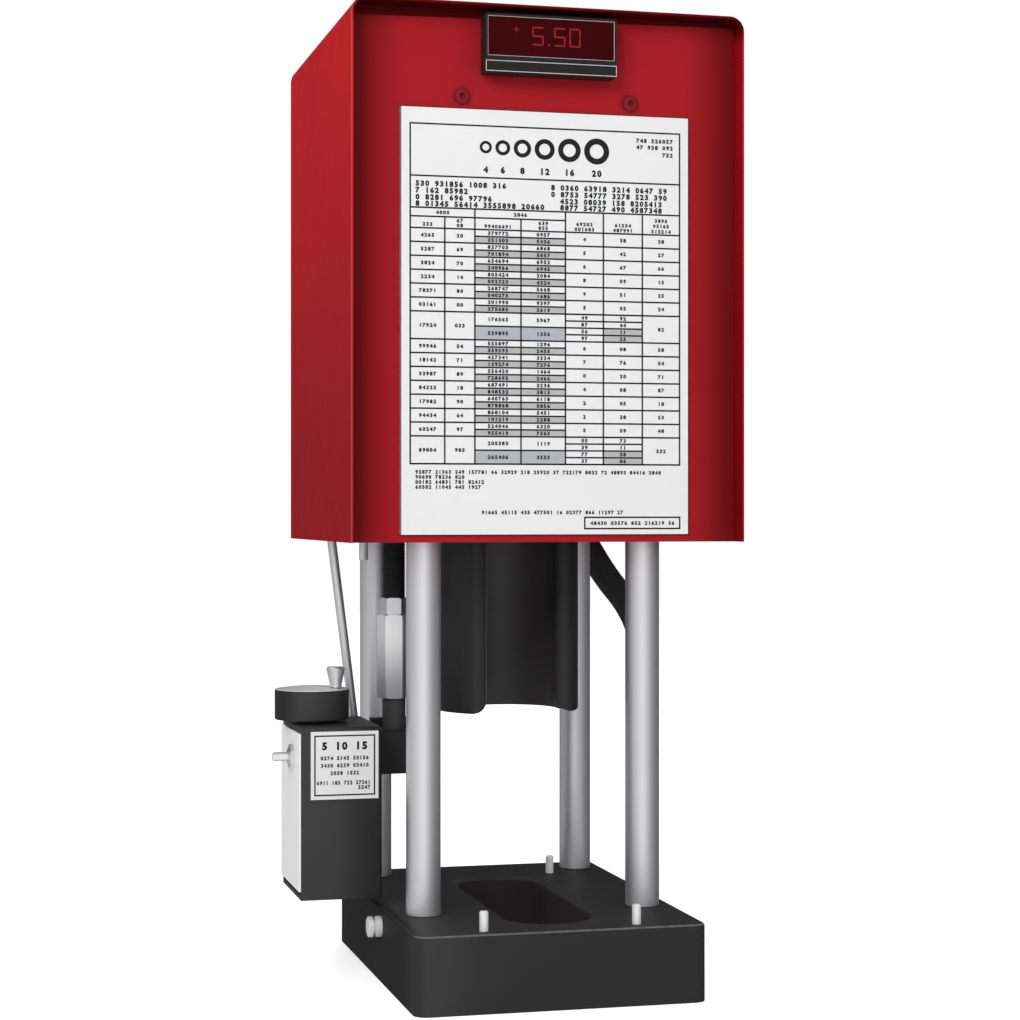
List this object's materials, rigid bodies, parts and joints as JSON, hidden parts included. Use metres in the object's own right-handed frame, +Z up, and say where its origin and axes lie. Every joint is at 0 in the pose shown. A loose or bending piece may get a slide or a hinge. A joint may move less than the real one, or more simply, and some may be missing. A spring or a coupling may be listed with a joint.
{
  "type": "hose crimping machine",
  "caption": "Bench-top hose crimper: slotted base block, columns and top platen, hooded oil cylinder with a half-round pusher, follower rod and a dial setting box.",
  "frame": {"origin": "on the underside of the base, at the centre of its bench-bolt holes and midway between the columns", "axes": "+X to the operator's right, +Y away from the operator, +Z up"},
  "size_m": [0.4475, 0.6258, 0.7127],
  "materials": {
    "black_steel": "satin black oxide",
    "ground_steel": "ground bright",
    "zinc_steel": "zinc plated",
    "red_paint": "satin red powder coat",
    "grey_iron": "painted grey",
    "bronze": "machined",
    "white_plate": "matt white",
    "black_paint": "satin black",
    "black_plastic": "moulded black",
    "red_window": "tinted clear red",
    "board": "lacquered board",
    "dial_aluminium": "anodised grey",
    "rubber_black": "smooth cover"
  },
  "bodies": {
    "frame": {"base": "black_steel", "base_post": "black_steel", "box_body": "black_paint", "box_foot": "black_paint", "box_label": "white_plate", "box_lid": "black_paint", "brace_lug": "zinc_steel", "brace_rod": "ground_steel", "button_bush": "black_plastic", "button_nut": "zinc_steel", "cap_screws": "black_steel", "chart_plate": "white_plate", "column_front_left": "ground_steel", "column_front_right": "ground_steel", "column_nuts": "zinc_steel", "column_rear_left": "ground_steel", "column_rear_right": "ground_steel", "cylinder_barrel": "grey_iron", "cylinder_cap": "grey_iron", "display_bezel": "black_plastic", "display_board": "board", "display_window": "red_window", "front_panel": "red_paint", "gland": "bronze", "hood": "red_paint", "hood_brackets": "zinc_steel", "hose": "rubber_black", "hose_coupler": "zinc_steel", "hose_ferrule": "zinc_steel", "locating_pins": "ground_steel", "panel_rail": "red_paint", "panel_screws": "red_paint", "platen": "black_steel", "port_elbow": "zinc_steel", "return_spring": "zinc_steel", "rod_seal": "rubber_black", "side_cover": "white_plate", "stop_peg": "ground_steel", "tie_bolts": "zinc_steel"},
    "ram": {"ram": "ground_steel", "piston": "ground_steel", "piston_seal": "rubber_black", "piston_nut": "zinc_steel", "pusher": "black_steel", "pusher_bolts": "zinc_steel", "follower_yoke": "black_steel", "yoke_nut": "zinc_steel", "follower_rod": "ground_steel", "lock_nut": "zinc_steel", "hex_coupling": "ground_steel", "follower_stud": "black_steel", "trip_arm": "black_steel"},
    "dial": {"dial_rim": "dial_aluminium", "dial_face": "dial_aluminium", "dial_spindle": "ground_steel", "knob_pin": "black_steel"},
    "crank_knob": {"crank_knob": "dial_aluminium"},
    "carriage": {"carriage": "zinc_steel", "limit_switch": "black_plastic"},
    "button": {"push_button": "black_plastic"}
  },
  "joints": [
    {"name": "ram_slide", "type": "slide", "parent": "frame", "child": "ram", "axis": [0, 0, -1], "range_m": [0, 0.076], "stiffness_N_per_m": 3000, "springref_m": -0.08, "deforming": ["return_spring"]},
    {"name": "dial_turn", "type": "hinge", "parent": "frame", "child": "dial", "pos_m": [-0.1528, -0.0125, 0.2], "axis": [0, 0, 1], "range_deg": [-1800, 1800]},
    {"name": "crank_knob_spin", "type": "hinge", "parent": "dial", "child": "crank_knob", "pos_m": [-0.13688, -0.02619, 0.22], "axis": [0, 0, 1], "continuous": true},
    {"name": "carriage_lift", "type": "slide", "parent": "frame", "child": "carriage", "axis": [0, 0, 1], "range_m": [-0.0126, 0.0126]},
    {"name": "button_press", "type": "slide", "parent": "frame", "child": "button", "axis": [1, 0, 0], "range_m": [0, 0.004], "stiffness_N_per_m": 500, "springref_m": -0.002}
  ],
  "couplings": [
    {"joint": "carriage_lift", "follows": "dial_turn", "m_per_rad": 0.00039788}
  ]
}
